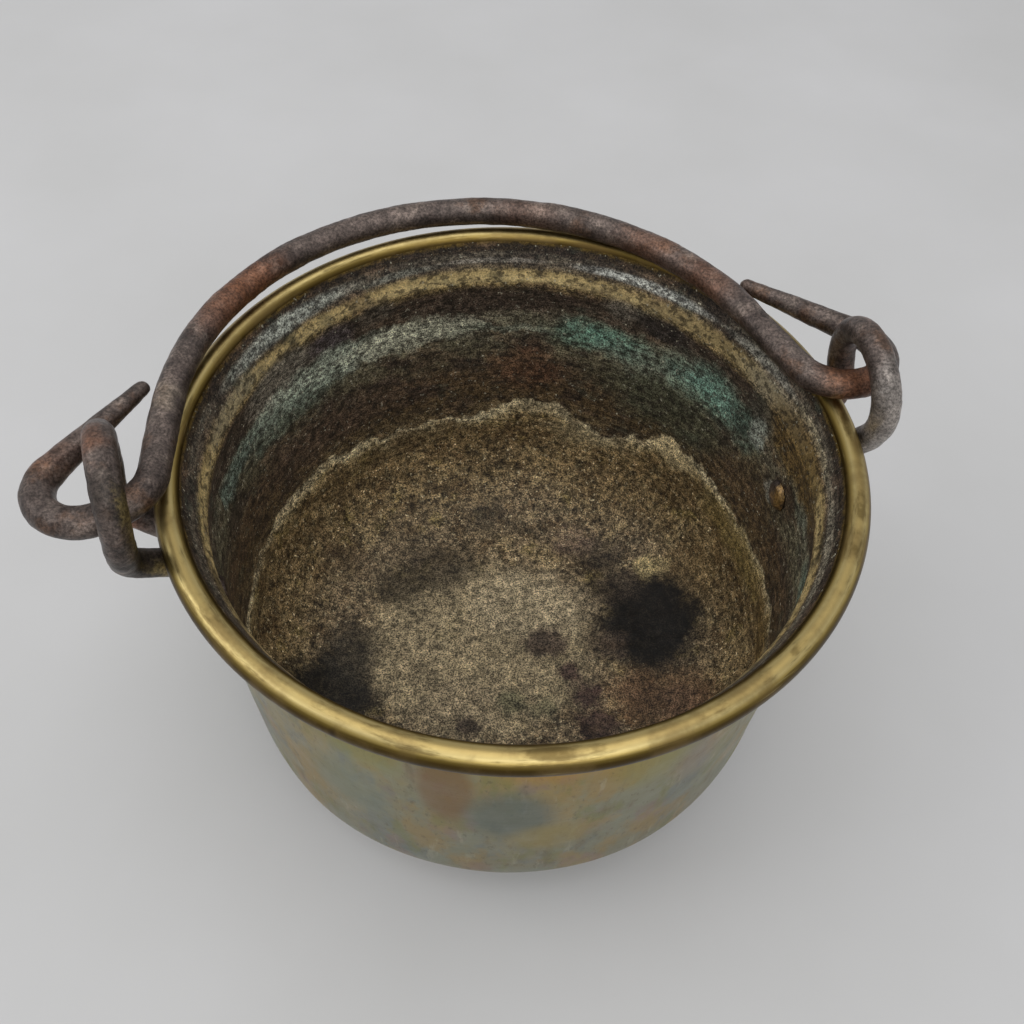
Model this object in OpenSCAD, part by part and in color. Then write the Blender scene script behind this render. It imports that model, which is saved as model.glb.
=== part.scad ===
// Small brass pot with a rolled rim and a swinging iron bail.
// Millimetres. The origin is the centre of the underside and +Z points up.
// +Y is the side on which the bail lies when it is folded back.

/* [Pot] */
// Outside diameter over the rolled rim
rim_d = 127; // [110:1:160]
// Height from the underside to the top of the rim
pot_h = 80; // [70:1:110]
// Thickness of the brass sheet
wall_t = 1.0; // [0.7:0.1:1.4]
// Radius of the turn from the side into the bottom, on its outside
corner_r = 23; // [10:0.5:26]
// Lean of the side towards the bottom, in degrees
side_lean = 1.4; // [0:0.1:4]
// Largest bulge radius of the shoulder below the neck
shoulder_r = 35; // [32:1:45]
// Steepness of the shoulder where it leaves the neck, in degrees
shoulder_slope = 14; // [13:1:18]
// Radius of the groove at the neck, on the inside of the sheet
neck_r = 6; // [5:0.5:9]

/* [Rolled rim] */
// Diameter of the wire inside the rolled rim
wire_d = 2.4; // [1.8:0.1:4]
// Room left around the wire by the rolled sheet
wire_gap = 0.1; // [0.05:0.05:0.2]
// Outward lean of the lip between the neck and the rim, in degrees
lip_lean = 19; // [10:1:24]
// Straight length of the lip
lip_len = 8; // [7:0.5:12]
// How far round the wire the sheet is rolled, in degrees
curl_turn = 285; // [230:5:290]

/* [Ears] */
// Diameter of the iron rod that the ears are bent from
ear_rod_d = 5.2; // [4:0.2:5.8]
// Radius of the loop at its rod's centre
loop_r = 9.5; // [9:0.25:10.5]
// Direction of the right ear, in degrees from +X
right_ear_dir = 13; // [9:0.5:20]
// Direction of the left ear, in degrees from -X
left_ear_dir = 18.5; // [12:0.5:22]
// Gap between the rim and the right ear's loop
right_ear_gap = 0.2; // [0.2:0.1:1]
// Gap between the rim and the nearer side of the left ear's loop
left_ear_gap = 2.7; // [2.6:0.1:3]
// How far the left loop is twisted out of line with the rim, in degrees
left_twist = 3.5; // [0:0.5:4]
// Lean of both loops in over the rim, in degrees
loop_lean = 6.3; // [5:0.1:6.5]
// Straight sides of the right ear's loop
right_loop_rise = 0.5; // [0.25:0.25:1]
// Straight sides of the left ear's loop, which was bent taller
left_loop_rise = 2.0; // [0.25:0.25:3]
// How far the legs turn in at the foot of the loop, in degrees
leg_turn = 25; // [18:1:30]
// Straight length of each leg between the loop and the bend under the rim
leg_drop = 2.5; // [1.5:0.25:3.5]
// Radius of the bends that take the legs in under the rim
leg_bend_r = 5; // [4.4:0.1:5.6]
// Angle of those bends
leg_bend = 58; // [54:1:70]
// Length of the hammered taper from the leg into the pad
leg_taper = 8; // [7:0.5:9]
// Thickness of the riveted pad
pad_t = 2.4; // [1.6:0.1:3]
// Radius of the pad's rounded foot
pad_r = 7.5; // [6:0.25:9]
// Depth of the rivets below the end of the shoulder
rivet_drop = 6; // [6:0.2:12]

/* [Rivets] */
// Diameter of the rivet's shank
rivet_d = 4.2; // [3:0.1:5]
// Diameter of the domed head outside
head_d = 9; // [7:0.25:10]
// Height of the domed head outside
head_h = 2.6; // [1.8:0.1:3.4]
// Diameter of the flattened head inside
burr_d = 7; // [6:0.25:8]
// Height of the flattened head inside
burr_h = 1.1; // [0.7:0.1:1.6]
// Clearance round the shank, and between plates and heads
rivet_fit = 0.05; // [0.03:0.01:0.1]

/* [Bail] */
// Diameter of the iron rod that the bail is bent from
bail_rod_d = 5.6; // [4:0.2:5.8]
// Gap between the rim and the bail lying on it
bail_lift = 0.4; // [0.3:0.05:0.7]
// How much smaller the bow's radius is than the rim's, at its rod's centre
bow_inset = 6.7; // [6.6:0.1:9]
// How far the bow reaches out beyond the rim's radius, from the hinge line to its rod's centre
bow_overhang = 3.6; // [0:0.1:3.8]
// Outward lean of the bail's right side below the bow, in degrees
right_splay = 13; // [9:0.5:13]
// Outward lean of the bail's left side below the bow, in degrees
left_splay = 10; // [7:0.5:10]
// Radius of the bend where each side turns out towards its ear
knee_r = 9; // [7:0.5:9]
// How far the bail is pushed along its hinge line to the left
bail_slide = 1.9; // [1.6:0.1:2]
// Radius of the right hook
right_hook_r = 7.7; // [7.7:0.1:8]
// Radius of the left hook
left_hook_r = 7.5; // [7.4:0.1:7.8]
// How far the right hook's centre lies inside its ear's loop
right_hook_in = 0.3; // [0.1:0.1:0.4]
// How far the left hook's centre lies outside its ear's loop
left_hook_out = 4.4; // [4.2:0.1:4.8]
// How far the left hook's centre lies below the right one's
left_hook_drop = 3.7; // [3:0.1:4]
// Dip of the rod into the left hook, in degrees
left_dip = 20; // [17:1:21]
// Direction in which the ends run back towards the bow, in degrees
hook_turn = 132; // [131:0.5:133]
// Length of the right tapered end
right_tail_len = 24; // [16:0.5:24]
// Length of the left tapered end
left_tail_len = 22.5; // [16:0.5:22.5]
// Diameter of the ends at their tips
tip_d = 3.0; // [1.6:0.2:3]

/* [Hidden] */
$fn = 96;

brass = "#B08D3F";
iron = "#4E443F";

// The rolled rim: a bead of sheet round the wire
curl_inner_r = wire_d / 2 + wire_gap;
bead_r = curl_inner_r + wall_t;
bead_x = rim_d / 2 - bead_r;
bead_z = pot_h - bead_r;

// The sheet's inner face, followed down from the bead to the bottom.
// Each stretch starts where the one before it ends, in the same direction.
lip_x = bead_x - bead_r * cos(lip_lean);
lip_z = bead_z + bead_r * sin(lip_lean);
neck_x = lip_x - lip_len * sin(lip_lean);
neck_z = lip_z - lip_len * cos(lip_lean);
shoulder_x = neck_x - neck_r * (cos(shoulder_slope) - cos(lip_lean));
shoulder_z = neck_z - neck_r * (sin(lip_lean) + sin(shoulder_slope));
side_x = shoulder_x + shoulder_r * (cos(side_lean) - cos(shoulder_slope));
side_z = shoulder_z - shoulder_r * (sin(shoulder_slope) + sin(side_lean));
corner_in_r = corner_r - wall_t;
side_len = (side_z - wall_t - corner_in_r * (1 - sin(side_lean))) / cos(side_lean);
corner_x = side_x - side_len * sin(side_lean);
base_x = corner_x - corner_in_r * cos(side_lean);

// Height of the rivets and the inner face's radius there, on the straight side
rivet_z = side_z - rivet_drop;
rivet_x = side_x - (side_z - rivet_z) * tan(side_lean);

// The ears stand just outside the rim, leaning in above it, and the bail turns on the line
// through their loops
hinge_z = pot_h + bail_lift + bail_rod_d / 2;
ear_x = rim_d / 2 + ear_rod_d / 2 - (hinge_z - bead_z) * tan(loop_lean);
right_ear_x = ear_x + right_ear_gap;
left_ear_x = ear_x + left_ear_gap + loop_r * sin(left_twist);
right_hole = [right_ear_x * cos(right_ear_dir), right_ear_x * sin(right_ear_dir)];
left_hole = [-left_ear_x * cos(left_ear_dir), -left_ear_x * sin(left_ear_dir)];
hinge_mid = (right_hole + left_hole) / 2;
hinge_dir = atan2(right_hole[1] - left_hole[1], right_hole[0] - left_hole[0]);
hinge_half = norm(right_hole - left_hole) / 2;

// The legs run down just clear of the widest part of the shoulder.
// Their outward bend is smaller than the inward one by foot_turn, which takes the lean out.
pad_seat = wall_t + rivet_fit;
leg_x = side_x + pad_seat + ear_rod_d / 2;
foot_turn = atan(cos(leg_turn) * tan(loop_lean));

// The bow and the hooks, measured from the middle of the bail on the hinge line
bow_r = rim_d / 2 - bow_inset;
bow_reach = rim_d / 2 + bow_overhang;
right_hook_x = hinge_half + bail_slide - right_hook_in;
left_hook_x = hinge_half - bail_slide + left_hook_out;

// Extra diameter where a rod is bent, and how far a straight run reaches into a bend
bend_swell = 0.1;
lap = 0.4;

// Chords of the sheet's curves, of the pad's round foot and of a rivet's dome
curl_chords = 32;
neck_chords = 6;
shoulder_chords = 5;
corner_chords = 14;
pad_chords = 34;
dome_chords = 8;

// Points of an arc from one direction to another, on the given number of chords
function arc(x, z, r, from, to, chords) =
    [for (k = [0 : chords]) let (a = from + (to - from) * k / chords) [x + r * cos(a), z + r * sin(a)]];

// Line at a constant offset from the sheet's inner face, from the side down to the bottom
function lower_line(offset) =
    arc(base_x, wall_t + corner_in_r, corner_in_r + offset, -side_lean, -90, corner_chords);

// The same line from the lip down over the neck and the shoulder to the side
function upper_line(offset) = concat(
    arc(neck_x + neck_r * cos(lip_lean), neck_z - neck_r * sin(lip_lean),
        neck_r - offset, 180 - lip_lean, 180 + shoulder_slope, neck_chords),
    arc(shoulder_x - shoulder_r * cos(shoulder_slope), shoulder_z - shoulder_r * sin(shoulder_slope),
        shoulder_r + offset, shoulder_slope, -side_lean, shoulder_chords));

// The same line round the wire, from the edge of the sheet back to the lip
function curl_line(offset) =
    arc(bead_x, bead_z, bead_r - offset, 180 - lip_lean - curl_turn, 180 - lip_lean, curl_chords);

function sheet_line(offset) =
    concat(curl_line(offset), upper_line(offset), lower_line(offset), [[0, wall_t - offset]]);

function reversed(line) = [for (k = [len(line) - 1 : -1 : 0]) line[k]];

// Brass sheet, spun to one shell with its edge rolled outwards over the wire
module pot_body()
    color(brass) difference() {
        rotate_extrude($fn = 180)
            polygon(concat(sheet_line(0), reversed(sheet_line(wall_t))));
        for (dir = [right_ear_dir, 180 + left_ear_dir])
            rivet_hole(dir);
    }

// Wire that the edge is rolled over
module rim_wire()
    color(iron) rotate_extrude($fn = 180)
        translate([bead_x, bead_z]) circle(d = wire_d, $fn = 32);

// Puts its children on the sheet's inner face at a rivet, with +Z out through the wall
module at_rivet(dir)
    rotate(dir) translate([rivet_x, 0, rivet_z]) rotate([0, 90 + side_lean, 0]) children();

module rivet_hole(dir)
    at_rivet(dir) translate([0, 0, -5]) cylinder(h = 15, r = rivet_d / 2 + rivet_fit, $fn = 48);

// A straight run of rod along +Z, let into the bends at its ends.
// Its children carry on from its far end.
module run(len, d1, d2) {
    translate([0, 0, -lap]) cylinder(h = len + (d1 == d2 ? 2 : 1) * lap, d1 = d1, d2 = d2, $fn = 48);
    translate([0, 0, len]) children();
}

// A bend of rod from +Z towards the direction roll, after which its children carry on
module bend(r, angle, roll, d)
    rotate(roll) {
        translate([r, 0, 0]) rotate([90, 0, 180]) bow(r, angle, d);
        translate([r, 0, 0]) rotate([0, angle, 0]) translate([-r, 0, 0]) rotate(-roll) children();
    }

// An arc of rod in the XY plane, from +X towards +Y, left a little thicker than a straight run
module bow(r, angle, d)
    rotate_extrude(angle = angle) translate([r, 0]) circle(d = d + bend_swell, $fn = 48);

// Straight run between the two bends under the rim, for a leg that crosses the hinge line at x.
// The bends themselves take the leg in by bends_in and along its own line by bends_along.
function bend_run(x) =
    let (bends_in = leg_bend_r * (1 + cos(foot_turn) - 2 * cos(leg_bend)),
        bends_along = leg_bend_r * (2 * sin(leg_bend) - sin(foot_turn)),
        drop = loop_r * sin(leg_turn) + (leg_drop + bends_along) * cos(leg_turn))
    (x - leg_x + drop * sin(loop_lean) - bends_in * cos(loop_lean))
        / (sin(leg_bend) * cos(loop_lean) - cos(leg_bend) * cos(leg_turn) * sin(loop_lean));

// One leg of an ear whose loop is centred at x, from the side of the loop down to the pad
module leg(x, rise, twist)
    translate([-loop_r * sin(twist), loop_r * cos(twist), rise]) rotate([180, 0, 0])
        run(rise, ear_rod_d, ear_rod_d)
        bend(loop_r, leg_turn, 90, ear_rod_d)
        run(leg_drop, ear_rod_d, ear_rod_d)
        bend(leg_bend_r, leg_bend, 180, ear_rod_d)
        run(bend_run(x - loop_r * sin(twist)), ear_rod_d, ear_rod_d)
        bend(leg_bend_r, leg_bend - foot_turn, 0, ear_rod_d)
        run(leg_taper, ear_rod_d, pad_t);

// Outline of the pad, seen along the radius: a leaf with a round foot at the rivet
function pad_outline(top_w, top_z) =
    concat([[-top_w / 2, top_z]], arc(0, 0, pad_r, 168, 372, pad_chords), [[top_w / 2, top_z]]);

// Flat leaf of iron that follows the outside of the wall round the rivet
module pad()
    intersection() {
        rotate(180) rotate_extrude($fn = 180)
            polygon(concat(upper_line(pad_seat), lower_line(pad_seat),
                reversed(lower_line(pad_seat + pad_t)), reversed(upper_line(pad_seat + pad_t))));
        translate([base_x, 0, rivet_z]) rotate([90, 0, 90]) linear_extrude(height = rim_d / 2)
            polygon(pad_outline(ear_rod_d + 4, neck_z - rivet_z - ear_rod_d));
    }

// Iron rod bent to a loop, its two ends brought in under the rim, down the
// neck and hammered out to one pad that follows the wall
module ear(dir, x, rise, twist)
    color(iron) difference() {
        rotate(dir) {
            translate([x, 0, hinge_z]) rotate([0, -loop_lean, 0]) {
                translate([0, 0, rise]) rotate(twist) rotate([90, 0, 90]) bow(loop_r, 180, ear_rod_d);
                leg(x, rise, twist);
                mirror([0, 1, 0]) leg(x, rise, -twist);
            }
            pad();
        }
        rivet_hole(dir);
    }

// A rivet with a domed head outside and its end hammered flat inside.
// The flat end stands off the hollow wall by the height of the wall's curve across it.
module rivet(dir) {
    inner_seat = sqrt(pow(rivet_x, 2) - pow(burr_d / 2, 2)) - rivet_x - rivet_fit;
    outer_seat = wall_t + pad_t + 2 * rivet_fit;
    dome_r = (pow(head_d / 2, 2) + pow(head_h, 2)) / 2 / head_h;
    color(iron) at_rivet(dir)
        rotate_extrude($fn = 64) polygon(concat(
            [[0, inner_seat - burr_h], [burr_d / 2 - burr_h, inner_seat - burr_h], [burr_d / 2, inner_seat],
                [rivet_d / 2, inner_seat], [rivet_d / 2, outer_seat]],
            arc(0, outer_seat + head_h - dome_r, dome_r, asin(1 - head_h / dome_r), 90, dome_chords)));
}

// One side of the bail, from the end of its bow out to the tip of the hook.
// The rod dips by the angle dip into a hook whose centre is at hook_x, hook_y.
module bail_side(splay, hook_x, hook_y, hook_r, dip, tail_len) {
    bow_end = [bow_r * cos(splay), bow_reach - bow_r + bow_r * sin(splay)];
    side_dir = splay - 90;
    side = [cos(side_dir), sin(side_dir)];
    entry = [cos(dip), -sin(dip)];
    // From the bow's end to the point where the hook's bend starts
    reach = [hook_x - hook_r * sin(dip), hook_y - hook_r * cos(dip)] - bow_end;
    // Lengths of the two straight lines between them, up to where they cross
    side_len = (reach[0] * entry[1] - reach[1] * entry[0]) / (side[0] * entry[1] - side[1] * entry[0]);
    entry_len = (reach[1] * side[0] - reach[0] * side[1]) / (side[0] * entry[1] - side[1] * entry[0]);
    knee_turn = 90 - splay - dip;
    knee_cut = knee_r * tan(knee_turn / 2);
    translate([bow_end[0], bow_end[1], 0]) rotate(side_dir) rotate([-90, 0, 0]) rotate([0, 90, 0])
        run(side_len - knee_cut, bail_rod_d, bail_rod_d)
        bend(knee_r, knee_turn, 180, bail_rod_d)
        run(entry_len - knee_cut, bail_rod_d, bail_rod_d)
        bend(hook_r, hook_turn + dip, 180, bail_rod_d)
        run(tail_len, bail_rod_d, tip_d)
        sphere(d = tip_d, $fn = 32);
}

// Iron bail: one rod bowed over the pot, hooked through both ears, its tapered ends turned back
module bail()
    color(iron) translate([hinge_mid[0], hinge_mid[1], hinge_z]) rotate(hinge_dir)
        translate([-bail_slide, 0, 0]) {
            translate([0, bow_reach - bow_r, 0]) rotate(right_splay)
                bow(bow_r, 180 - right_splay - left_splay, bail_rod_d);
            bail_side(right_splay, right_hook_x, right_hook_r, right_hook_r, 0, right_tail_len);
            mirror([1, 0, 0])
                bail_side(left_splay, left_hook_x, left_hook_r - left_hook_drop, left_hook_r, left_dip,
                    left_tail_len);
        }

module left_ear() ear(180 + left_ear_dir, left_ear_x, left_loop_rise, left_twist);
module right_ear() ear(right_ear_dir, right_ear_x, right_loop_rise, 0);
module left_rivet() rivet(180 + left_ear_dir);
module right_rivet() rivet(right_ear_dir);

pot_body();
rim_wire();
left_ear();
right_ear();
left_rivet();
right_rivet();
bail();
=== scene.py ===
"""Small brass pot with a rolled rim, riveted iron ears and a swinging iron bail."""

from math import atan2, cos, degrees, hypot, radians, sin, tan

import bpy
from mathutils import Matrix, Vector


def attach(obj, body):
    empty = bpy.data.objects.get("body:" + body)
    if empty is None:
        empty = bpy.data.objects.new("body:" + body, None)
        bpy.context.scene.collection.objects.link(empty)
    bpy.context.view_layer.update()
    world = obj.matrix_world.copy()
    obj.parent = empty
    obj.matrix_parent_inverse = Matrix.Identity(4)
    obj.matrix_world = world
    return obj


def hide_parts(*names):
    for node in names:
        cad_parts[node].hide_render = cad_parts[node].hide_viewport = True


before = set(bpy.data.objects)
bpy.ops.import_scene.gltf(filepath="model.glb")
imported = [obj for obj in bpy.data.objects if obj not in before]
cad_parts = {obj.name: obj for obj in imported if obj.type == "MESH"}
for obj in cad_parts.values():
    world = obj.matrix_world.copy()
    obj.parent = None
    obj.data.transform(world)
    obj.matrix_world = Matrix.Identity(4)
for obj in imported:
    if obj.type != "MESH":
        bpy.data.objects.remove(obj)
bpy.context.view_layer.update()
MM = 0.001


# ---------------------------------------------------------------- Camera
# Held above and in front of the pot, tilted down 51 degrees and turned a little.
camera_data = bpy.data.cameras.new("camera")
camera_data.sensor_width = 36.0
camera_data.lens = 35.156
camera_data.clip_start = 0.01
camera = bpy.data.objects.new("camera", camera_data)
camera.location = (0.09 * MM, -122.62 * MM, 211.82 * MM)
tilt_down = 51.43
roll = 2.85
camera.rotation_euler = (
    Matrix.Rotation(radians(90 - tilt_down), 3, "X") @ Matrix.Rotation(radians(roll), 3, "Z")
).to_euler()
bpy.context.scene.collection.objects.link(camera)
bpy.context.scene.camera = camera
bpy.context.scene.view_settings.view_transform = "Standard"


# ---------------------------------------------------------------- Floor and light
# A sheet of matt white paper under the pot, a touch grey, in the light of a bright room.
# Large soft lamps hang over the pot, stand behind the camera and light it from the left.
def paint(hue):
    """A colour written as sRGB hex, or one grey as a plain number, as linear RGBA."""
    if not isinstance(hue, str):
        return [hue, hue, hue, 1.0]
    channels = [int(hue[i : i + 2], 16) / 255 for i in (1, 3, 5)]
    return [c / 12.92 if c <= 0.04045 else ((c + 0.055) / 1.055) ** 2.4 for c in channels] + [1.0]


def add(tree, kind, links=None, stops=None, **settings):
    """Adds a shader node with its settings, ramp stops and links, and returns its first output."""
    node = tree.nodes.new("ShaderNode" + kind)
    for name, value in settings.items():
        setattr(node, name, value)
    if stops:
        while len(node.color_ramp.elements) < len(stops):
            node.color_ramp.elements.new(1.0)
        for element, (place, hue) in zip(node.color_ramp.elements, stops):
            element.position = place
            element.color = paint(hue)
    for key, value in (links or {}).items():
        socket = node.inputs[key] if isinstance(key, int) else next(
            s for s in node.inputs if s.enabled and s.name == key)
        if isinstance(value, bpy.types.NodeSocket):
            tree.links.new(value, socket)
        else:
            socket.default_value = paint(value) if isinstance(value, str) else value
    return next((s for s in node.outputs if s.enabled), node)


def new_surface(name):
    """A fresh material, its node tree, and positions on the piece in mm."""
    material = bpy.data.materials.new(name)
    material.use_nodes = True
    tree = material.node_tree
    tree.nodes.clear()
    at = add(tree, "Mapping", {"Vector": add(tree, "TexCoord").node.outputs["Object"], "Scale": (1000,) * 3})
    return material, tree, at


paper, tree, at = new_surface("matt_paper")
mottle = add(tree, "TexNoise", {"Vector": at, "Scale": 1 / 90, "Detail": 4.0})
add(tree, "OutputMaterial", {"Surface": add(tree, "BsdfPrincipled", {
    "Base Color": add(tree, "ValToRGB", {"Fac": mottle}, stops=[(0.3, "#C2C2C1"), (0.7, "#C9C9C9")]),
    "Roughness": 0.85, "Specular IOR Level": 0.2})})

bpy.ops.object.select_all(action="DESELECT")
bpy.ops.mesh.primitive_circle_add(vertices=96, radius=1.6, fill_type="NGON", location=(0, 0, 0))
floor = bpy.context.object
floor.name = "floor"
floor.data.materials.append(paper)

world = bpy.data.worlds.new("studio")
bpy.context.scene.world = world
world.use_nodes = True
tree = world.node_tree
tree.nodes.clear()
add(tree, "OutputWorld", {"Surface": add(tree, "Background", {"Color": "#DADADC", "Strength": 0.78})})

for name, where, size, power in (
    ("lamp_above", (0.0, 0.1, 1.2), 0.9, 3.6),
    ("lamp_front", (0.2, -0.8, 1.0), 0.8, 3.8),
    ("lamp_left", (-0.85, -0.05, 0.75), 0.6, 2.4),
):
    lamp_data = bpy.data.lights.new(name, "AREA")
    lamp_data.size = size
    lamp_data.energy = power
    lamp = bpy.data.objects.new(name, lamp_data)
    lamp.location = where
    lamp.rotation_euler = (Vector(where) - Vector((0, 0, 0.04))).to_track_quat("Z", "Y").to_euler()
    bpy.context.scene.collection.objects.link(lamp)


# ---------------------------------------------------------------- Pot body
# Brass sheet 1 mm thick, spun to one shell, with its edge rolled outwards over a wire.
# Years of cooking have left the inside scorched, green in a band and crusted below it.
RIM_R, POT_H, SHEET = 63.5, 80.0, 1.0
BEAD_R = 2.3
BEAD_X, BEAD_Z = RIM_R - BEAD_R, POT_H - BEAD_R
LIP_LEAN, LIP_LEN = 19.0, 8.0
NECK_R, SHOULDER_R, SHOULDER_SLOPE = 6.0, 35.0, 14.0
SIDE_LEAN, CORNER_R = 1.4, 22.0
CURL_TURN = 285.0
STEPS_ROUND = 288


def arc(x, z, r, start, end, steps):
    """Points of an arc in the section plane, without its first one."""
    angles = [radians(start + (end - start) * k / steps) for k in range(1, steps + 1)]
    return [(x + r * cos(a), z + r * sin(a)) for a in angles]


def line(a, b, steps):
    """Points of a straight line in the section plane, without its first one."""
    return [(a[0] + (b[0] - a[0]) * k / steps, a[1] + (b[1] - a[1]) * k / steps) for k in range(1, steps + 1)]


# The sheet's inner face, from its rolled edge round the bead and down to the middle of the bottom
lean, slope, drift = radians(LIP_LEAN), radians(SHOULDER_SLOPE), radians(SIDE_LEAN)
section = [(BEAD_X + BEAD_R * cos(radians(180 - LIP_LEAN - CURL_TURN)),
            BEAD_Z + BEAD_R * sin(radians(180 - LIP_LEAN - CURL_TURN)))]
section += arc(BEAD_X, BEAD_Z, BEAD_R, 180 - LIP_LEAN - CURL_TURN, 180 - LIP_LEAN, 30)
bead_stations = len(section)
lip = section[-1]
neck = (lip[0] - LIP_LEN * sin(lean), lip[1] - LIP_LEN * cos(lean))
section += line(lip, neck, 7)
section += arc(neck[0] + NECK_R * cos(lean), neck[1] - NECK_R * sin(lean), NECK_R,
               180 - LIP_LEAN, 180 + SHOULDER_SLOPE, 5)
shoulder = section[-1]
section += arc(shoulder[0] - SHOULDER_R * cos(slope), shoulder[1] - SHOULDER_R * sin(slope), SHOULDER_R,
               SHOULDER_SLOPE, -SIDE_LEAN, 8)
side = section[-1]
side_drop = side[1] - SHEET - CORNER_R * (1 - sin(drift))
foot = (side[0] - side_drop * tan(drift), side[1] - side_drop)
section += line(side, foot, 30)
base_r = foot[0] - CORNER_R * cos(drift)
section += arc(base_r, SHEET + CORNER_R, CORNER_R, -SIDE_LEAN, -90, 28)
section += line((base_r, SHEET), (1.2, SHEET), 28)

bpy.ops.object.select_all(action="DESELECT")
bpy.ops.mesh.primitive_circle_add(vertices=STEPS_ROUND, radius=section[0][0] * MM, location=(0, 0, 0))
pot = bpy.context.object
pot.name = "spun_pot"
bpy.ops.object.mode_set(mode="EDIT")
bpy.ops.mesh.select_all(action="SELECT")
bpy.ops.transform.translate(value=(0, 0, section[0][1] * MM))
for (r0, z0), (r1, z1) in zip(section, section[1:]):
    bpy.ops.mesh.extrude_region_move(TRANSFORM_OT_translate={"value": (0, 0, (z1 - z0) * MM)})
    bpy.ops.transform.resize(value=(r1 / r0, r1 / r0, 1), center_override=(0, 0, z1 * MM))
bpy.ops.mesh.extrude_region_move(TRANSFORM_OT_translate={"value": (0, 0, 0)})
bpy.ops.mesh.merge(type="CENTER")
bpy.ops.object.mode_set(mode="OBJECT")

# The sheet's inner face looks into the pot
side_face = min(pot.data.polygons, key=lambda p: abs(p.center.z - 40 * MM))
if side_face.normal.x * side_face.center.x + side_face.normal.y * side_face.center.y > 0:
    bpy.ops.object.mode_set(mode="EDIT")
    bpy.ops.mesh.select_all(action="SELECT")
    bpy.ops.mesh.flip_normals()
    bpy.ops.object.mode_set(mode="OBJECT")
inner_faces, inner_points = len(pot.data.polygons), len(pot.data.vertices)

# Slow unevenness of a shell that has been handled and knocked. The wire stiffens the rim,
# and the bottom stands flat.
handled = pot.vertex_groups.new(name="handled")
for v in pot.data.vertices:
    height = v.co.z / MM
    handled.add([v.index], max(0.0, min(1.0, (height - 2) / 12, 0.25 + (70 - height) / 25)), "REPLACE")
slow = bpy.data.textures.new("slow_dents", "CLOUDS")
slow.noise_scale = 34 * MM
slow.noise_depth = 1
wobble = pot.modifiers.new("wobble", "DISPLACE")
wobble.texture = slow
wobble.texture_coords = "LOCAL"
wobble.vertex_group = "handled"
wobble.strength = 0.8 * MM
wobble.mid_level = 0.5
bpy.ops.object.modifier_apply(modifier="wobble")

wall = pot.modifiers.new("wall", "SOLIDIFY")
wall.thickness = SHEET * MM
wall.offset = -1
bpy.ops.object.modifier_apply(modifier="wall")

# Heights in mm of the crust's edge on the wall, by degrees from +X
CRUST_EDGE = [(-180, 26), (-90, 24), (-30, 27), (-5, 32), (10, 31), (28, 31.5), (37, 34.5), (50, 35), (57, 30), (65, 26),
              (73, 27.5), (80, 32.5), (89, 32.5), (97, 27.5), (110, 26.5), (125, 27.5), (140, 29.5), (165, 29),
              (180, 26)]


def crust_line(angle):
    """Height in mm of the crust's edge at an angle."""
    turn = degrees(angle)
    for (a, low), (b, high) in zip(CRUST_EDGE, CRUST_EDGE[1:]):
        if a <= turn <= b:
            return low + (high - low) * (turn - a) / (b - a)
    return CRUST_EDGE[0][1]


# A crust up to 0.5 mm thick that ends in a ragged edge, and lumps in it
crusted = pot.vertex_groups.new(name="crusted")
for v in pot.data.vertices[:inner_points]:
    edge = crust_line(atan2(v.co.y, v.co.x))
    depth = (edge - v.co.z / MM) / 1.5
    if hypot(v.co.x, v.co.y) < 57.6 * MM and depth > 0:
        crusted.add([v.index], min(1.0, depth), "REPLACE")
lumps = bpy.data.textures.new("crust_lumps", "CLOUDS")
lumps.noise_scale = 2.2 * MM
lumps.noise_depth = 3
for name, texture, strength, mid in (("crust", None, 0.3, 0.0), ("lumps", lumps, 0.8, 0.5)):
    layer = pot.modifiers.new(name, "DISPLACE")
    layer.texture = texture
    layer.texture_coords = "LOCAL"
    layer.vertex_group = "crusted"
    layer.strength = strength * MM
    layer.mid_level = mid
    bpy.ops.object.modifier_apply(modifier=name)
pot.vertex_groups.clear()
bpy.ops.object.shade_smooth()

# The bead and the outside are still metal, so their dirt is a stain on bright brass
def veiled(tree, at, under, hue, size, low, high, share, stretch=(1, 1, 1)):
    """A ragged stain of another hue over a colour, in patches about size mm across."""
    place = add(tree, "Mapping", {"Vector": at, "Location": (size * 11,) * 3,
                                  "Scale": tuple(1 / (size * s) for s in stretch)})
    cloud = add(tree, "TexNoise", {"Vector": place, "Scale": 1.0, "Detail": 5.0, "Roughness": 0.62})
    amount = add(tree, "MapRange", {"Value": cloud, "From Min": low, "From Max": high, "To Max": share},
                 interpolation_type="SMOOTHSTEP")
    return add(tree, "Mix", {"Factor": amount, "A": under, "B": hue}, data_type="RGBA")


def patched(tree, place, under, centre, size, core, hue, share):
    """An oval patch of another hue over a colour, full inside core and gone at 1 time its size."""
    off = add(tree, "Mapping", {"Vector": place, "Location": (-centre[0] / size[0], -centre[1] / size[1], 0),
                                "Scale": (1 / size[0], 1 / size[1], 0)})
    away = add(tree, "VectorMath", {0: off}, operation="LENGTH").node.outputs["Value"]
    amount = add(tree, "MapRange", {"Value": away, "From Min": 1.0, "From Max": core, "To Max": share},
                 interpolation_type="SMOOTHSTEP")
    return add(tree, "Mix", {"Factor": amount, "A": under, "B": hue}, data_type="RGBA")


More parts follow.
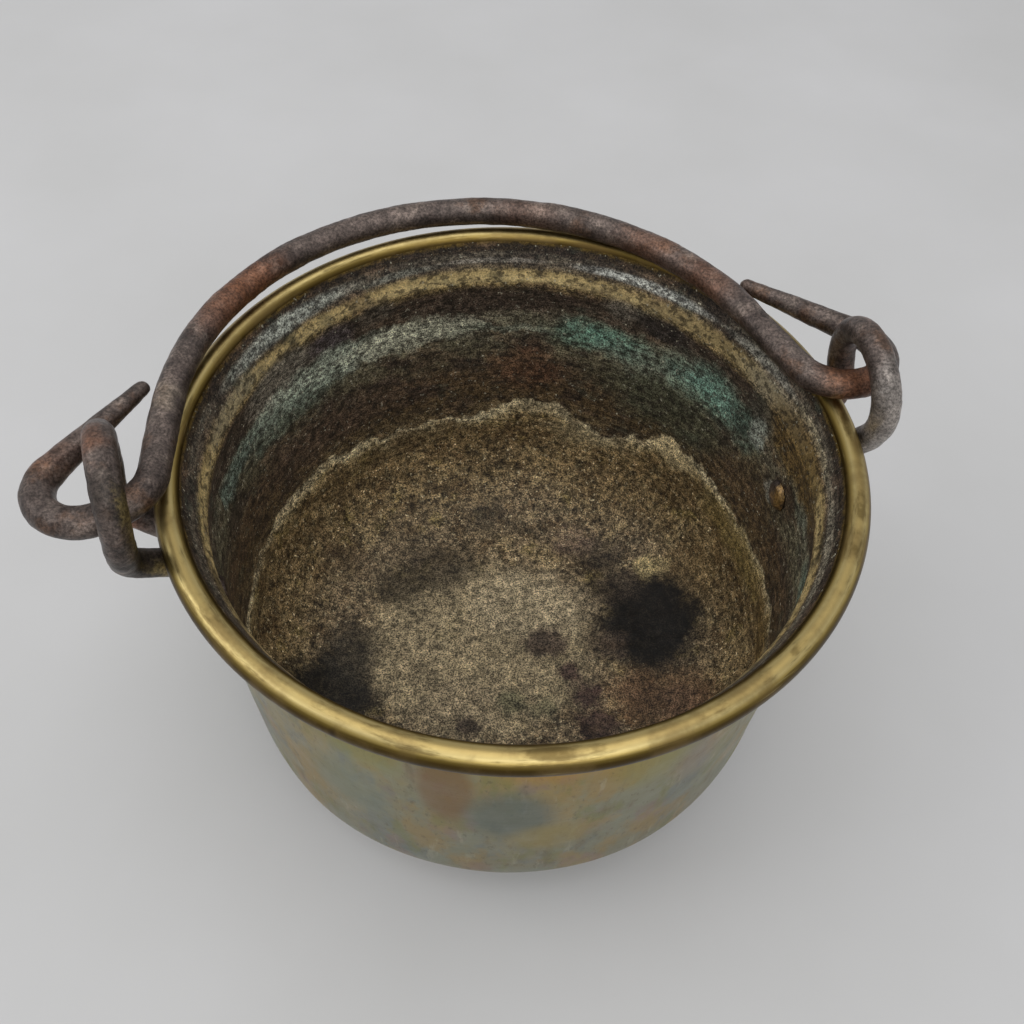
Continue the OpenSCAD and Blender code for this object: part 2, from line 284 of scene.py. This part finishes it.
# Bead: rubbed by hands, olive gold on top with a painted highlight along it, painted shade with brown dirt under it,
# and dirt in scratches along it
bead_brass, tree, at = new_surface("rubbed_brass")
height = add(tree, "SeparateXYZ", {"Vector": at}).node.outputs["Z"]
level = add(tree, "MapRange", {"Value": height, "From Min": BEAD_Z - 2.4, "From Max": BEAD_Z + 2.3})
# Up the bead: painted shade with dirt on its underside, then a painted highlight band near its top
colour = add(tree, "ValToRGB", {"Fac": level}, stops=[
    (0.30, "#33270F"), (0.72, "#4E3E1D"), (0.82, "#75622F"), (0.89, "#AE985A"), (0.95, "#CBB87E"), (1.0, "#B29C64")])
flat = add(tree, "VectorMath", {0: at, 1: (1, 1, 0)}, operation="MULTIPLY")
radius = add(tree, "VectorMath", {0: flat}, operation="LENGTH").node.outputs["Value"]
# Painted shade: the bead darkens towards its inner side, between radii 60.9 and 59.5 mm
colour = add(tree, "Mix", {"Factor": add(tree, "MapRange", {
    "Value": radius, "From Min": 60.9, "From Max": 59.5, "To Max": 0.35}), "A": colour, "B": "#5E4D28"}, data_type="RGBA")
for hue, size, low, high, share, stretch in (
    ("#7A6640", 13, 0.46, 0.64, 0.6, (1, 1, 1)),
    ("#5A4A28", 1.2, 0.52, 0.66, 0.6, (9, 9, 0.5)),
    ("#D2C184", 1.6, 0.60, 0.74, 0.4, (9, 9, 0.4)),
):
    colour = veiled(tree, at, colour, hue, size, low, high, share, stretch)
for centre, size, core, hue, share in (
    ((-24.4, -58.9), (1.1, 1.0), 0.2, "#2E2115", 0.8),
    ((-14.8, 61.0), (1.8, 1.4), 0.4, "#3A2C1C", 0.7),
    ((20, 58), (14, 3), 0.3, "#6B5734", 0.6),
):
    colour = patched(tree, flat, colour, centre, size, core, hue, share)
worn = add(tree, "TexNoise", {"Vector": at, "Scale": 1 / 1.6, "Detail": 5.0, "Roughness": 0.65})
add(tree, "OutputMaterial", {"Surface": add(tree, "BsdfPrincipled", {
    "Base Color": colour, "Metallic": 1.0,
    "Roughness": add(tree, "MapRange", {"Value": worn, "From Min": 0.3, "From Max": 0.7,
                                        "To Min": 0.32, "To Max": 0.44}),
    "Normal": add(tree, "Bump", {"Strength": 0.15, "Distance": 0.1 * MM, "Height": worn})})})

# Outside: satin grey-gold, its tarnish green, rose and blue in slow upright patches, golden
# where hands reach it under the bead
outside_brass, tree, at = new_surface("tarnished_brass")
height = add(tree, "SeparateXYZ", {"Vector": at}).node.outputs["Z"]
level = add(tree, "MapRange", {"Value": height, "From Min": 0.0, "From Max": 80.0})
# The top stop, right under the bead, is dark: painted shade with dirt
colour = add(tree, "ValToRGB", {"Fac": level}, stops=[
    (0.05, "#8E8B7A"), (0.5, "#9A9274"), (0.72, "#A6966A"), (0.86, "#AC9458"), (0.92, "#94783F"), (0.95, "#4E3D20")])
for hue, size, low, high, share, stretch in (
    ("#8E9484", 22, 0.46, 0.60, 0.6, (1, 1, 1.6)),
    ("#7C8482", 15, 0.52, 0.62, 0.6, (1, 1, 1.8)),
    ("#A88C54", 13, 0.50, 0.62, 0.6, (1, 1, 1.5)),
    ("#98807A", 11, 0.55, 0.66, 0.5, (1, 1, 1.5)),
    ("#868650", 9, 0.53, 0.64, 0.55, (1, 1, 2.2)),
    ("#77684E", 4, 0.56, 0.70, 0.45, (1, 1, 3)),
    ("#BDB59C", 2.2, 0.58, 0.70, 0.4, (1, 1, 5)),
    ("#675C49", 1.0, 0.57, 0.66, 0.4, (1, 1, 2)),
):
    colour = veiled(tree, at, colour, hue, size, low, high, share, stretch)
flat = add(tree, "VectorMath", {0: at, 1: (1, 0, 1)}, operation="MULTIPLY")
turned = add(tree, "SeparateXYZ", {"Vector": flat}).node.outputs
flat = add(tree, "CombineXYZ", {"X": turned["X"], "Y": turned["Z"]})
for centre, size, core, hue, share in (
    ((9, 68), (18, 7), 0.4, "#BA945A", 0.7), ((25, 61), (9, 12), 0.3, "#A0985C", 0.6),
    ((-22, 63), (10, 9), 0.3, "#98985E", 0.55), ((-21, 68), (5, 4), 0.3, "#A07882", 0.5),
    ((-8.5, 57), (6, 15), 0.55, "#8A6A46", 0.7), ((2.5, 49), (10, 14), 0.45, "#68746F", 0.75),
    ((10, 38), (10, 9), 0.4, "#A49258", 0.65), ((-25, 45), (11, 14), 0.3, "#868F7F", 0.6),
    ((-41, 61), (9, 15), 0.2, "#9A9C8E", 0.45), ((34, 52), (6, 12), 0.2, "#9C8882", 0.4),
):
    colour = patched(tree, flat, colour, centre, size, core, hue, share)
spun = add(tree, "TexNoise", {"Vector": add(tree, "Mapping", {"Vector": at, "Scale": (0.03, 0.03, 1.1)}),
                              "Scale": 1.0, "Detail": 4.0, "Roughness": 0.6})
dull = add(tree, "TexNoise", {"Vector": at, "Scale": 1 / 7, "Detail": 5.0, "Roughness": 0.6})
add(tree, "OutputMaterial", {"Surface": add(tree, "BsdfPrincipled", {
    "Base Color": colour, "Metallic": 1.0,
    "Roughness": add(tree, "MapRange", {"Value": dull, "From Min": 0.3, "From Max": 0.7,
                                        "To Min": 0.34, "To Max": 0.52}),
    "Normal": add(tree, "Bump", {"Strength": 0.35, "Distance": 0.1 * MM, "Height": add(
        tree, "Math", {0: dull, 1: 3.0, 2: spun}, operation="MULTIPLY_ADD")})})})

# Inside: "round" is degrees round the wall, 1 mm each, and "up" is mm up it, which carries on
# below 0 across the bottom. Both are made ragged, and less so where the turned lines are crisp.
inside_brass, tree, at = new_surface("scorched_brass")
x, y, z = add(tree, "SeparateXYZ", {"Vector": at}).node.outputs
flat = add(tree, "VectorMath", {0: at, 1: (1, 1, 0)}, operation="MULTIPLY")
radius = add(tree, "VectorMath", {0: flat}, operation="LENGTH").node.outputs["Value"]
up = add(tree, "Math", {0: add(tree, "Math", {0: z, 1: radius}, operation="ADD"), 1: 57.0}, operation="SUBTRACT")
turn = add(tree, "Math", {0: add(tree, "Math", {0: y, 1: x}, operation="ARCTAN2")}, operation="DEGREES")
fray = add(tree, "TexNoise", {"Vector": at, "Scale": 1 / 6, "Detail": 7.0, "Roughness": 0.68}).node.outputs["Color"]
fray = add(tree, "VectorMath", {0: fray, 1: (11, 11, 11), 2: (-5.5, -5.5, -5.5)}, operation="MULTIPLY_ADD")
fray = add(tree, "VectorMath", {0: fray, "Scale": add(tree, "MapRange", {
    "Value": up, "From Min": 60, "From Max": 68, "To Min": 1.0, "To Max": 0.12})}, operation="SCALE")
wall_place = add(tree, "VectorMath", {0: add(tree, "CombineXYZ", {"X": turn, "Y": up}), 1: fray}, operation="ADD")
floor_place = add(tree, "VectorMath", {0: flat, 1: fray}, operation="ADD")
ragged_up = add(tree, "SeparateXYZ", {"Vector": wall_place}).node.outputs["Y"]

# Bands up the wall: brown scorch, painted shade in a dark band under the ridge, the bare gold ridge of the neck with a
# painted highlight, the grimy lip darkest just under the bead
low, high = 24.0, 82.0
level = add(tree, "MapRange", {"Value": ragged_up, "From Min": low, "From Max": high})
colour = add(tree, "ValToRGB", {"Fac": level}, stops=[((h - low) / (high - low), c) for h, c in (
    (30.0, "#6A5B42"), (34.0, "#5C4C35"), (42.0, "#5A4936"), (47.0, "#5A5240"), (52.0, "#68634F"), (59.0, "#706B58"),
    (62.0, "#554A3E"), (66.5, "#4D4137"), (68.3, "#85724C"), (69.6, "#D6C08A"), (71.8, "#C4AD78"), (73.0, "#6E6048"),
    (74.2, "#564D40"), (77.0, "#5A5347"), (78.2, "#3A3024"), (79.4, "#2F261A"), (80.2, "#6E5A2E"))])
for hue, size, low, high, share, stretch in (
    ("#6A5644", 7, 0.52, 0.64, 0.5, (2, 2, 1)),
    ("#3A302A", 6, 0.50, 0.62, 0.7, (1.8, 1.8, 1)),
    ("#3F4A40", 5, 0.56, 0.66, 0.4, (1.5, 1.5, 1)),
):
    colour = veiled(tree, at, colour, hue, size, low, high, share, stretch)
for centre, size, core, hue, share in (
    ((147, 75.8), (24, 3.0), 0.4, "#A0A499", 0.75), ((118, 74.6), (13, 1.4), 0.3, "#9A9A8C", 0.5),
    ((97, 75.2), (16, 1.0), 0.4, "#9A9488", 0.5), ((62, 75.2), (21, 1.9), 0.4, "#B4B6AE", 0.8),
    ((30, 75.0), (16, 1.8), 0.4, "#9C9A8E", 0.7), ((8, 74.6), (14, 2.0), 0.4, "#A39A80", 0.6),
    ((-20, 75.0), (22, 2.2), 0.4, "#8E8876", 0.6),
    ((48, 70.5), (18, 3.6), 0.4, "#988660", 0.7), ((22, 70.5), (18, 4.2), 0.4, "#979180", 0.7),
    ((168, 70.8), (16, 3.0), 0.4, "#9A927C", 0.6),
    ((152, 64), (14, 6.5), 0.5, "#908A7C", 0.75), ((136, 64.5), (8, 5), 0.4, "#5A545A", 0.6),
    ((124, 66), (6, 4), 0.4, "#6E685C", 0.5), ((100, 64), (22, 4.6), 0.6, "#50443A", 0.7),
    ((66, 66.4), (7, 3.5), 0.4, "#7A7468", 0.6), ((56, 65), (9, 4.4), 0.5, "#34302E", 0.85),
    ((10, 66), (20, 11), 0.5, "#715B33", 0.75), ((26, 62), (7, 8), 0.4, "#5A5A50", 0.6),
    ((140, 57.5), (30, 5.6), 0.5, "#A9B2A0", 0.88), ((116, 57), (22, 5.0), 0.5, "#B2B29C", 0.85),
    ((150, 53), (20, 6), 0.4, "#5E6C60", 0.6), ((94, 55.6), (16, 1.6), 0.5, "#7C806F", 0.7),
    ((70, 56.4), (18, 6.4), 0.15, "#6C9482", 0.8), ((60, 54), (18, 6), 0.3, "#727C6E", 0.6),
    ((42, 56.8), (16, 8.6), 0.15, "#7AA090", 0.8), ((30, 55), (8, 8), 0.4, "#4A5A50", 0.7),
    ((26, 57.6), (4.5, 5.5), 0.4, "#8E9388", 0.8), ((3, 59), (10, 4.2), 0.2, "#66746A", 0.5),
    ((-24, 57), (20, 5.0), 0.4, "#6B8578", 0.7), ((-60, 57), (34, 5.0), 0.4, "#6B7E70", 0.6),
    ((-120, 57), (30, 5.0), 0.4, "#6E7C6C", 0.6), ((174, 57), (22, 5.0), 0.4, "#6E8074", 0.7),
    ((88, 44), (12, 9), 0.4, "#6B4C38", 0.6), ((52, 44), (24, 12), 0.4, "#4A4D3C", 0.75),
    ((20, 44), (14, 10), 0.4, "#5A4A34", 0.6), ((140, 40), (34, 9), 0.4, "#52443A", 0.6),
    ((10.8, 53.5), (7.5, 6.0), 0.45, "#3E3024", 0.85), ((16, 50.5), (4.5, 3.4), 0.4, "#8C8A7E", 0.75),
):
    colour = patched(tree, wall_place, colour, centre, size, core, hue, share)
for hue, size, low, high, share, stretch in (
    ("#2B2520", 1.2, 0.49, 0.58, 0.7, (1.5, 1.5, 1)),
    ("#B5B19C", 0.9, 0.62, 0.68, 0.75, (1, 1, 1)),
):
    colour = veiled(tree, at, colour, hue, size, low, high, share, stretch)

# Below them a crust of dried food and lime, thick with black and pale grains
ring = add(tree, "MapRange", {"Value": turn, "From Min": -180, "From Max": 180})
edge = add(tree, "ValToRGB", {"Fac": ring}, stops=[((a + 180) / 360, (h - 20) / 20) for a, h in CRUST_EDGE])
edge = add(tree, "Math", {0: edge, 1: 20.0, 2: 20.0}, operation="MULTIPLY_ADD")
below = add(tree, "Math", {0: edge, 1: ragged_up}, operation="SUBTRACT")
crusty = add(tree, "MapRange", {"Value": below, "From Min": -0.7, "From Max": 0.9}, interpolation_type="SMOOTHSTEP")
crust = add(tree, "ValToRGB", {"Fac": add(tree, "MapRange", {"Value": below, "From Max": 40})}, stops=[
    (0.02, "#D8CAA4"), (0.08, "#B09E76"), (0.14, "#8B7753"), (0.3, "#7D6949"), (0.6, "#83704F"), (1.0, "#86755A")])
for hue, size, low, high, share, stretch in (
    ("#A8946C", 7, 0.50, 0.64, 0.6, (1, 1, 1)),
    ("#5F4C33", 5, 0.50, 0.62, 0.7, (1.3, 1.3, 1)),
    ("#4A4636", 3, 0.56, 0.66, 0.6, (1, 1, 1)),
    ("#8A7A48", 9, 0.56, 0.68, 0.6, (1, 1, 1)),
    ("#3A3024", 2.4, 0.52, 0.62, 0.6, (1, 1, 1)),
    ("#241C14", 1.1, 0.53, 0.60, 0.75, (1, 1, 1)),
    ("#D8C9A2", 0.8, 0.60, 0.66, 0.8, (1, 1, 1)),
):
    crust = veiled(tree, at, crust, hue, size, low, high, share, stretch)
for centre, size, core, hue, share in (
    ((-6.5, 3), (32, 28), 0.75, "#9C8E70", 0.7), ((6, 16), (20, 14), 0.5, "#A89A7E", 0.5),
    ((-9, -13), (16, 9), 0.3, "#857760", 0.55), ((37, -9), (16, 12), 0.5, "#6A5138", 0.75), ((40, 20), (14, 12), 0.4, "#7C6642", 0.6),
    ((35.2, 12), (17.5, 18.5), 0.5, "#0F0D0C", 0.97), ((27, 22), (8, 8), 0.3, "#3E352C", 0.8),
    ((23.5, 32), (8, 7), 0.4, "#3A3229", 0.75), ((25, 5), (7, 7), 0.3, "#4A3D32", 0.75),
    ((-40, -12.5), (14, 13), 0.5, "#1A1814", 0.94), ((-37, -1), (9, 13), 0.3, "#38332A", 0.85),
    ((9.7, 4.8), (7.2, 5.8), 0.4, "#473A31", 0.9), ((-7.5, -18.5), (3.8, 3.4), 0.5, "#322923", 0.9),
    ((2.4, -11.9), (5.5, 4.5), 0.3, "#5A5A42", 0.7), ((10, -12.5), (4.5, 3.6), 0.3, "#66644A", 0.6),
    ((16, -3), (4.5, 4), 0.4, "#42302C", 0.9), ((20.5, -8), (5.0, 4.5), 0.4, "#402E2A", 0.9),
    ((22, -16), (6.5, 6), 0.4, "#42312B", 0.9), ((33, -8), (8, 6), 0.3, "#55402F", 0.6),
    ((42, -10), (8, 7), 0.3, "#5A4436", 0.6), ((-18.7, 25.3), (14, 11), 0.3, "#3E362B", 0.8),
    ((-28.7, 19.8), (10, 9), 0.3, "#443C2E", 0.75), ((-6.4, 40.9), (6, 7), 0.3, "#443C30", 0.7),
    ((16, 36), (9, 6), 0.3, "#5C4A42", 0.6), ((36, 27), (5.5, 4), 0.3, "#B7A678", 0.7),
    ((-40, 24), (9, 5), 0.3, "#5A4A36", 0.6),
):
    crust = patched(tree, floor_place, crust, centre, size, core, hue, share)
for centre, size, core, hue, share in (
    ((84, 31), (10, 4), 0.4, "#B5A684", 0.7), ((47, 32), (9, 5), 0.5, "#BFAE86", 0.85),
    ((70, 24), (16, 5), 0.3, "#8F8468", 0.6), ((120, 22), (30, 5), 0.3, "#5E4F38", 0.6),
    ((20, 26), (22, 8), 0.4, "#7C6B3F", 0.7), ((-10, 26), (24, 9), 0.4, "#665330", 0.7),
):
    crust = patched(tree, wall_place, crust, centre, size, core, hue, share)
colour = add(tree, "Mix", {"Factor": crusty, "A": colour, "B": crust}, data_type="RGBA")

# The ridge and the bead's edge are bare metal that still shines, and everything else is matt
bare = add(tree, "ValToRGB", {"Fac": level}, stops=[((h - 24) / 58, c) for h, c in (
    (68.0, 0.0), (69.4, 0.5), (72.0, 0.5), (73.2, 0.1), (79.4, 0.1), (80.4, 0.8))])

# Grain: black soot specks and pale lime ones. Real ones are finer, but these are as coarse as shows.
speck = add(tree, "TexNoise", {"Vector": at, "Scale": 1 / 0.36, "Detail": 2.0, "Roughness": 0.7})
blot = add(tree, "TexNoise", {"Vector": at, "Scale": 1 / 1.8, "Detail": 5.0, "Roughness": 0.7})
scratch = add(tree, "TexNoise", {"Vector": add(tree, "Mapping", {"Vector": at, "Scale": (0.07, 0.07, 1.4)}),
                                 "Scale": 1.0, "Detail": 6.0, "Roughness": 0.7})
for cloud, dark, light, low, high in (
    (speck, 0.40, 0.60, 0.25, 1.9), (blot, 0.36, 0.64, 0.42, 1.6), (scratch, 0.36, 0.64, 0.65, 1.35),
):
    colour = add(tree, "Mix", {
        "Factor": add(tree, "MapRange", {"Value": bare, "From Max": 0.5, "To Min": 1.0, "To Max": 0.35}),
        "A": colour, "B": add(tree, "MapRange", {
            "Value": cloud, "From Min": dark, "From Max": light, "To Min": low, "To Max": high})},
        data_type="RGBA", blend_type="MULTIPLY")
relief = add(tree, "Math", {0: speck, 1: crusty, 2: blot}, operation="MULTIPLY_ADD")
add(tree, "OutputMaterial", {"Surface": add(tree, "BsdfPrincipled", {
    "Base Color": colour, "Metallic": bare, "Specular IOR Level": 0.3,
    "Roughness": add(tree, "MapRange", {"Value": bare, "To Min": 0.62, "To Max": 0.42}),
    "Normal": add(tree, "Bump", {"Strength": 0.6, "Distance": 0.22 * MM, "Height": relief})})})

for material in (inside_brass, bead_brass, outside_brass):
    pot.data.materials.append(material)
for face in pot.data.polygons:
    out = hypot(face.center.x, face.center.y) / MM
    if face.index >= inner_faces:
        face.material_index = 2
    elif out > 58.95 and hypot(out - BEAD_X, face.center.z / MM - BEAD_Z) < BEAD_R + 0.4:
        face.material_index = 1
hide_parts("pot_body")
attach(pot, "pot")


# ---------------------------------------------------------------- Rim wire
# Soft iron wire that the sheet's edge is rolled over, drawn through a die.
# Only its side in the roll's slit would ever show.
wire_iron, tree, at = new_surface("drawn_iron_wire")
rust_spots = add(tree, "TexNoise", {"Vector": at, "Scale": 1 / 1.5, "Detail": 4.0, "Roughness": 0.6})
add(tree, "OutputMaterial", {"Surface": add(tree, "BsdfPrincipled", {
    "Base Color": add(tree, "ValToRGB", {"Fac": rust_spots}, stops=[(0.4, "#3A322D"), (0.65, "#5F4A3C")]),
    "Metallic": 0.7, "Roughness": 0.55})})
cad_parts["rim_wire"].data.materials.clear()
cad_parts["rim_wire"].data.materials.append(wire_iron)


# ---------------------------------------------------------------- Ears
# Two loops of round iron rod, bent at the forge, drawn in under the rim and hammered to a riveted pad.
# Forge scale keeps them dark, with brown rust where the bail rubs.
def forged_copy(node, name, voxel):
    """A CAD node's shape as one skin, with the unevenness of hand forging worked into it."""
    piece = bpy.data.objects.new(name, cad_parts[node].data.copy())
    bpy.context.scene.collection.objects.link(piece)
    bpy.ops.object.select_all(action="DESELECT")
    bpy.context.view_layer.objects.active = piece
    piece.select_set(True)
    bpy.ops.object.mode_set(mode="EDIT")
    bpy.ops.mesh.select_all(action="SELECT")
    bpy.ops.mesh.remove_doubles(threshold=0.002 * MM)
    bpy.ops.object.mode_set(mode="OBJECT")
    skin = piece.modifiers.new("skin", "REMESH")
    skin.mode = "VOXEL"
    skin.voxel_size = voxel * MM
    ease = piece.modifiers.new("ease", "SMOOTH")
    ease.factor = 0.5
    ease.iterations = 6
    for label, size, depth, strength in (("hammered", 9.0, 1, 0.3), ("scaled", 2.2, 3, 0.22)):
        texture = bpy.data.textures.new(name + "_" + label, "CLOUDS")
        texture.noise_scale = size * MM
        texture.noise_depth = depth
        layer = piece.modifiers.new(label, "DISPLACE")
        layer.texture = texture
        layer.texture_coords = "LOCAL"
        layer.strength = strength * MM
        layer.mid_level = 0.6
    for label in ("skin", "ease", "hammered", "scaled"):
        bpy.ops.object.modifier_apply(modifier=label)
    piece.data.materials.clear()
    bpy.ops.object.shade_smooth()
    return piece


def forged_iron(name, rusty_places, patches=()):
    """Dark forge scale over iron, worn grey on the high spots, rusted brown, most at rusty_places."""
    material, tree, at = new_surface(name)
    colour = "#5B504A"
    for hue, size, low, high, share, stretch in (
        ("#3B322E", 10, 0.46, 0.62, 0.75, (1, 1, 1)),
        ("#85776D", 5, 0.50, 0.68, 0.65, (1, 1, 1)),
        ("#60442F", 7, 0.52, 0.68, 0.55, (1, 1, 1)),
    ):
        colour = veiled(tree, at, colour, hue, size, low, high, share, stretch)
    fray = add(tree, "TexNoise", {"Vector": at, "Scale": 1 / 4, "Detail": 6.0, "Roughness": 0.7}).node.outputs["Color"]
    place = add(tree, "VectorMath", {0: fray, 1: (9, 9, 9), 2: (-4.5, -4.5, -4.5)}, operation="MULTIPLY_ADD")
    place = add(tree, "VectorMath", {0: place, 1: at}, operation="ADD")
    for centre, size, share in rusty_places:
        colour = patched(tree, place, colour, centre, size, 0.1, "#74492E", share)
    for centre, size, hue, share in patches:
        colour = patched(tree, place, colour, centre, size, 0.2, hue, share)
    pits = add(tree, "TexNoise", {"Vector": at, "Scale": 1 / 0.5, "Detail": 3.0, "Roughness": 0.7})
    worn = add(tree, "TexNoise", {"Vector": at, "Scale": 1 / 2.8, "Detail": 5.0, "Roughness": 0.65})
    for cloud, dark, light, low, high in ((pits, 0.38, 0.62, 0.55, 1.5), (worn, 0.36, 0.66, 0.7, 1.35)):
        colour = add(tree, "Mix", {"Factor": 1.0, "A": colour, "B": add(tree, "MapRange", {
            "Value": cloud, "From Min": dark, "From Max": light, "To Min": low, "To Max": high})},
            data_type="RGBA", blend_type="MULTIPLY")
    add(tree, "OutputMaterial", {"Surface": add(tree, "BsdfPrincipled", {
        "Base Color": colour, "Metallic": 0.6,
        "Roughness": add(tree, "MapRange", {"Value": worn, "From Min": 0.35, "From Max": 0.65,
                                            "To Min": 0.48, "To Max": 0.34}),
        "Normal": add(tree, "Bump", {"Strength": 0.4, "Distance": 0.2 * MM, "Height": add(
            tree, "Math", {0: worn, 1: 1.5, 2: pits}, operation="MULTIPLY_ADD")})})})
    return material


left_loop = forged_copy("left_ear", "forged_left_ear", 0.38)
left_loop.data.materials.append(forged_iron("forged_iron_left", [((-67, -21), (6, 6), 0.7), ((-71, -12), (5, 6), 0.75)], [
    ((-60.5, -29), (5, 5), "#2B2722", 0.7), ((-57, -29), (4, 4), "#8C7B45", 0.5)]))
right_loop = forged_copy("right_ear", "forged_right_ear", 0.38)
right_loop.data.materials.append(forged_iron("forged_iron_right", [((66, 20), (6, 6), 0.4)], [
    ((66.5, 3.5), (9, 8), "#99928B", 0.75)]))
for piece, node in ((left_loop, "left_ear"), (right_loop, "right_ear")):
    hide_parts(node)
    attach(piece, "pot")


# ---------------------------------------------------------------- Rivets
# One iron rivet through each pad and the wall, domed outside and hammered flat inside.
# The hammered end inside is warm with rust, with a painted gold highlight in its middle.
# Painted highlights: gold spots in the middles of the rivets' inner ends, brighter on the right
rivet_iron = forged_iron("rivet_iron", [], [
    ((56.8, 10.8), (4.0, 3.6), "#A8854A", 0.75), ((-57, -9), (4.0, 3.6), "#7A6038", 0.6)])
for node, name in (("left_rivet", "hammered_left_rivet"), ("right_rivet", "hammered_right_rivet")):
    rivet = forged_copy(node, name, 0.22)
    rivet.data.materials.append(rivet_iron)
    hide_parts(node)
    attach(rivet, "pot")


# ---------------------------------------------------------------- Bail
# One iron rod bowed over the pot, hooked out through both loops, its drawn-out ends turned back.
# It carries most of the rust: orange on the left of the bow, at the right shoulder and in the hook.
bail = forged_copy("bail", "forged_bail", 0.42)
bail.data.materials.append(forged_iron("forged_iron_bail", [
    ((-52, 32), (13, 13), 0.75), ((-58, 24), (9, 9), 0.5), ((24, 51), (12, 8), 0.35), ((35.3, 40.7), (12, 9), 0.45),
    ((62.5, 15.2), (10, 9), 0.85), ((-79, -14), (8, 8), 0.4), ((0, 60), (10, 5), 0.2)], [
    ((-61.7, 0), (3.5, 5), "#A0917F", 0.4)]))
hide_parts("bail")
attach(bail, "bail")
